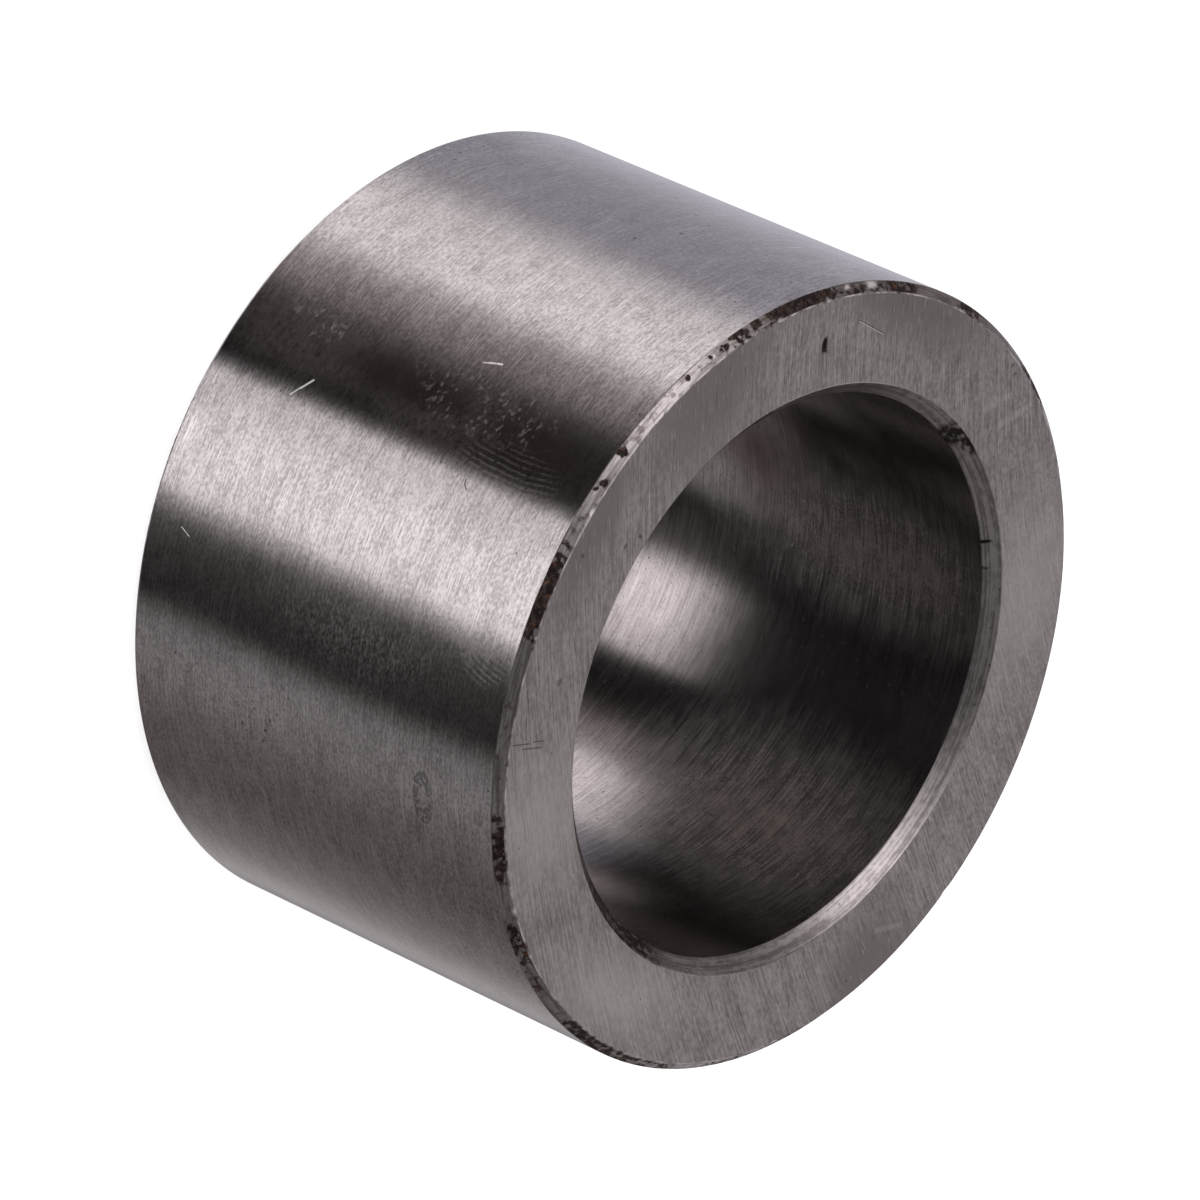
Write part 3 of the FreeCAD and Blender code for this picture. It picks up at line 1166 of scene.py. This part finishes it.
# A black card just under the base shades the bore from below, all but a soft oval window in it.
CARD_RADIUS = 24 * MM
CARD_SEGMENTS = 64
CARD_DROP = 0.2 * MM
CARD_WINDOW = ((0.7, 13.2), (13.4, 13.0))


def ring_stops(ring):
    """A ring of light as the stops of a colour ramp that goes once round."""
    first = ring[0]
    closed = (*ring, (first[0] + 360, *first[1:]))
    return [((degrees + 180) / 360, (*(TINTS[tint] * level), 1.0)) for degrees, level, tint in closed]


def studio_world(studio):
    """Soft boxes and cards all round, as the steel shows them. To the camera the room is white."""
    world = bpy.data.worlds.new("studio")
    world.use_nodes = True
    tree = world.node_tree
    tree.nodes.clear()
    ray = add(tree, "TexCoord").node.outputs["Generated"]
    parts = add(tree, "SeparateXYZ", {"Vector": ray}).node.outputs
    azimuth = add(tree, "Math", {0: parts["Y"], 1: parts["X"]}, operation="ARCTAN2")
    turn = add(tree, "MapRange", {"Value": azimuth, "From Min": -math.pi, "From Max": math.pi})
    lower, middle, upper = [
        add(tree, "ValToRGB", {"Fac": turn}, stops=ring_stops(ring))
        for ring in (LOWER_RING, MIDDLE_RING, UPPER_RING)
    ]
    light = toned(tree, parts["Z"], *MIDDLE_JOIN, dull=lower, bright=middle)
    light = toned(tree, parts["Z"], *UPPER_JOIN, dull=light, bright=upper)
    to_camera = add(tree, "LightPath").node.outputs["Is Camera Ray"]
    strength = add(tree, "MapRange", {"Value": to_camera, "To Min": studio.light, "To Max": 1.0})
    seen = laid(tree, light, WHITE, mask=to_camera, share=1.0)
    background = add(tree, "Background", {"Color": seen, "Strength": strength})
    add(tree, "OutputWorld", {"Surface": background})
    return world


def pale_floor(studio):
    """Back-lit white acrylic: an even pale table that shows only a faint shadow."""
    material, tree = new_material("backlit_white_acrylic")
    inputs = {
        "Base Color": tuple(studio.floor),
        "Roughness": 0.8,
        "Emission Color": WHITE,
        "Emission Strength": 0.85,
    }
    add(tree, "OutputMaterial", {"Surface": add(tree, "BsdfPrincipled", inputs)})
    return material


def black_card():
    """Black flocked card with a soft-edged window, through which light comes into the bore."""
    material, tree = new_material("black_flocked_card")
    window = blob(tree, place_in_mm(tree), *CARD_WINDOW, hard=0.1)
    black = add(tree, "Emission", {"Color": BLACK, "Strength": 0.0})
    clear = add(tree, "BsdfTransparent")
    add(tree, "OutputMaterial", {"Surface": add(tree, "MixShader", {0: window, 1: black, 2: clear})})
    return material


def stage_piece(name, bm, material):
    """A piece of the studio from its bmesh."""
    mesh = bpy.data.meshes.new(name)
    bm.to_mesh(mesh)
    bm.free()
    mesh.materials.append(material)
    piece = bpy.data.objects.new(name, mesh)
    bpy.context.scene.collection.objects.link(piece)
    return piece


class SCENE_OT_light_sleeve(bpy.types.Operator):
    """Set up the floor, the lights and the camera round the sleeve"""

    bl_idname = "scene.light_sleeve"
    bl_label = "Set Up Studio"

    def execute(self, context):
        scene = context.scene
        studio = scene.sleeve_studio
        bm = bmesh.new()
        bmesh.ops.create_grid(bm, x_segments=1, y_segments=1, size=FLOOR_SIZE / 2)
        floor = stage_piece("floor", bm, pale_floor(studio))
        floor.visible_glossy = False
        floor.visible_shadow = False

        bm = bmesh.new()
        bmesh.ops.create_circle(bm, cap_ends=True, radius=CARD_RADIUS, segments=CARD_SEGMENTS)
        bmesh.ops.translate(bm, verts=bm.verts, vec=(0, 0, -CARD_DROP))
        card = stage_piece("bore_card", bm, black_card())
        card.visible_camera = False
        card.visible_diffuse = False
        card.visible_shadow = False

        panel = bpy.data.lights.new("overhead_panel", "AREA")
        panel.energy = studio.overhead
        panel.size = PANEL_SIZE
        lamp = bpy.data.objects.new("overhead_panel", panel)
        lamp.location = (0, 0, PANEL_HEIGHT)
        lamp.visible_glossy = False
        scene.collection.objects.link(lamp)

        scene.world = studio_world(studio)
        scene.view_settings.view_transform = "Standard"

        camera = bpy.data.cameras.new("camera")
        camera.lens = studio.focal_length
        camera.sensor_width = SENSOR_WIDTH
        camera.clip_start = CAMERA_NEAR
        camera.clip_end = CAMERA_FAR
        stand = bpy.data.objects.new("camera", camera)
        stand.location = CAMERA_PLACE
        look = (CAMERA_AIM - CAMERA_PLACE).to_track_quat("-Z", "Y")
        roll = Quaternion((0, 0, 1), studio.roll)
        stand.rotation_euler = (look @ roll).to_euler()
        scene.collection.objects.link(stand)
        scene.camera = stand
        return {"FINISHED"}


class VIEW3D_PT_sleeve(bpy.types.Panel):
    """The sleeve's sizes, colours and studio"""

    bl_label = "Spacer Sleeve"
    bl_space_type = "VIEW_3D"
    bl_region_type = "UI"
    bl_category = "Sleeve"

    def draw(self, context):
        scene = context.scene
        for group in (scene.sleeve_sizes, scene.sleeve_colours, scene.sleeve_studio):
            box = self.layout.box()
            for name in group.__annotations__:
                box.prop(group, name)
        for operator in OPERATORS:
            self.layout.operator(operator.bl_idname)


OPERATORS = (MESH_OT_build_sleeve, SCENE_OT_light_sleeve)
GROUPS = {
    "sleeve_sizes": SleeveSizes,
    "sleeve_colours": SleeveColours,
    "sleeve_studio": SleeveStudio,
}
CLASSES = (*GROUPS.values(), *OPERATORS, VIEW3D_PT_sleeve)


def register():
    for cls in CLASSES:
        bpy.utils.register_class(cls)
    for name, group in GROUPS.items():
        setattr(bpy.types.Scene, name, bpy.props.PointerProperty(type=group))


def unregister():
    for name in GROUPS:
        delattr(bpy.types.Scene, name)
    for cls in reversed(CLASSES):
        bpy.utils.unregister_class(cls)


def main():
    register()
    bpy.ops.mesh.build_sleeve()
    bpy.ops.scene.light_sleeve()


if __name__ == "__main__":
    main()
